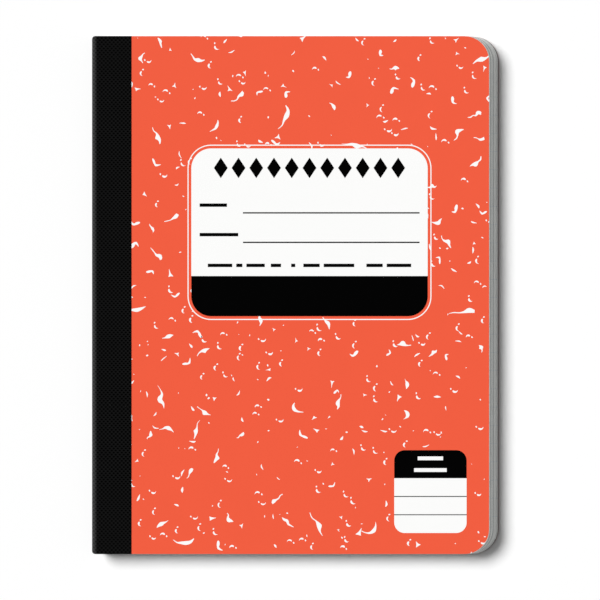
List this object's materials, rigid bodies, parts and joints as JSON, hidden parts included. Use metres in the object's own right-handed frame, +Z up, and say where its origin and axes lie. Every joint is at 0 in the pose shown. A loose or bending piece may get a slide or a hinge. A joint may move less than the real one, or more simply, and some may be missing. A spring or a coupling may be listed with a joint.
{
  "type": "composition notebook",
  "caption": "Sewn notebook with marbled board covers that fold open, cloth tape over the spine, a printed title panel and a ruling tag.",
  "frame": {"origin": "middle of the underside of the closed notebook, on the surface that it lies on", "axes": "+X from the spine to the fore edge, +Y from the tail to the head of the pages, +Z up out of the front cover"},
  "size_m": [0.1906, 0.2476, 0.0101],
  "materials": {
    "cover_board": "orange-red print under a satin coating on grey pulp board",
    "leaf_paper": "uncoated white writing paper",
    "thread": "white cotton thread",
    "spine_cloth": "black woven cloth tape",
    "white_print": "unprinted white of the cover paper under a satin coating",
    "black_print": "black print under a satin coating",
    "grey_print": "fine grey printed rule"
  },
  "bodies": {
    "sewn_leaves": {"page_block": "leaf_paper", "binding_thread": "thread", "spine_board": "cover_board", "spine_tape_middle": "spine_cloth"},
    "front": {"front_cover": "cover_board", "spine_tape_front": "spine_cloth", "marbling_front": "white_print", "label_border": "white_print", "label_panel": "white_print", "label_band": "black_print", "label_ornament": "black_print", "label_lines": "grey_print", "label_captions": "black_print", "tag_panel": "white_print", "tag_head": "black_print", "tag_lines": "grey_print", "tag_captions": "white_print"},
    "back": {"back_cover": "cover_board", "spine_tape_back": "spine_cloth", "marbling_back": "white_print"}
  },
  "joints": [
    {"name": "front_opening", "type": "hinge", "parent": "sewn_leaves", "child": "front", "pos_m": [-0.0953, 0, 0.0081], "axis": [0, -1, 0], "range_deg": [0, 180]},
    {"name": "back_opening", "type": "hinge", "parent": "sewn_leaves", "child": "back", "pos_m": [-0.0953, 0, 0.002], "axis": [0, 1, 0], "range_deg": [0, 180]}
  ]
}
